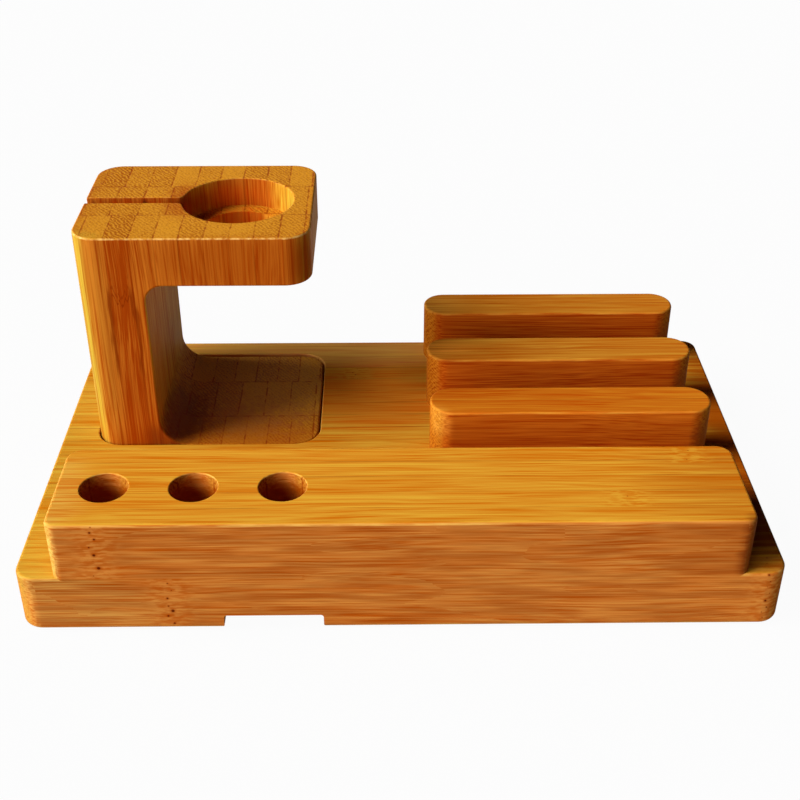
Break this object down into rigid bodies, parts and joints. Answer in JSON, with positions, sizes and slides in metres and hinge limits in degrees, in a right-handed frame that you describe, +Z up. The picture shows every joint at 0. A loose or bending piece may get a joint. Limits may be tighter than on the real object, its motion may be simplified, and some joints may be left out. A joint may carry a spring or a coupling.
{
  "type": "charging station organizer",
  "caption": "Bamboo desk charging organizer: a board with a pen-hole bar along the front, dividers that make device slots, and a lift-off stand for a watch charger.",
  "frame": {"origin": "on the surface that the rubber pads stand on, under the middle of the board", "axes": "+X to the right along the board, +Y to the rear, +Z up"},
  "size_m": [0.19, 0.115, 0.0806],
  "materials": {
    "bamboo_board": "satin lacquer over carbonised bamboo, grain along X",
    "bamboo_bar": "satin lacquer over carbonised bamboo, grain along X",
    "bamboo_stand": "satin lacquer over carbonised bamboo, grain upright, end grain on top",
    "bamboo_divider": "satin lacquer over carbonised bamboo, grain along X",
    "screw_steel": "zinc plated",
    "pad_rubber": "matt"
  },
  "bodies": {
    "organizer_base": {"base_board": "bamboo_board", "front_bar": "bamboo_bar", "divider_front": "bamboo_divider", "divider_middle": "bamboo_divider", "divider_rear": "bamboo_divider", "front_bar_screws": "screw_steel", "divider_front_screws": "screw_steel", "divider_middle_screws": "screw_steel", "divider_rear_screws": "screw_steel", "rubber_pad_front_left": "pad_rubber", "rubber_pad_front_right": "pad_rubber", "rubber_pad_rear_left": "pad_rubber", "rubber_pad_rear_right": "pad_rubber"},
    "watch_stand": {"watch_stand": "bamboo_stand"}
  },
  "joints": [
    {"name": "watch_stand_lift", "type": "slide", "parent": "organizer_base", "child": "watch_stand", "axis": [0, 0, 1], "range_m": [0, 0.014]}
  ]
}
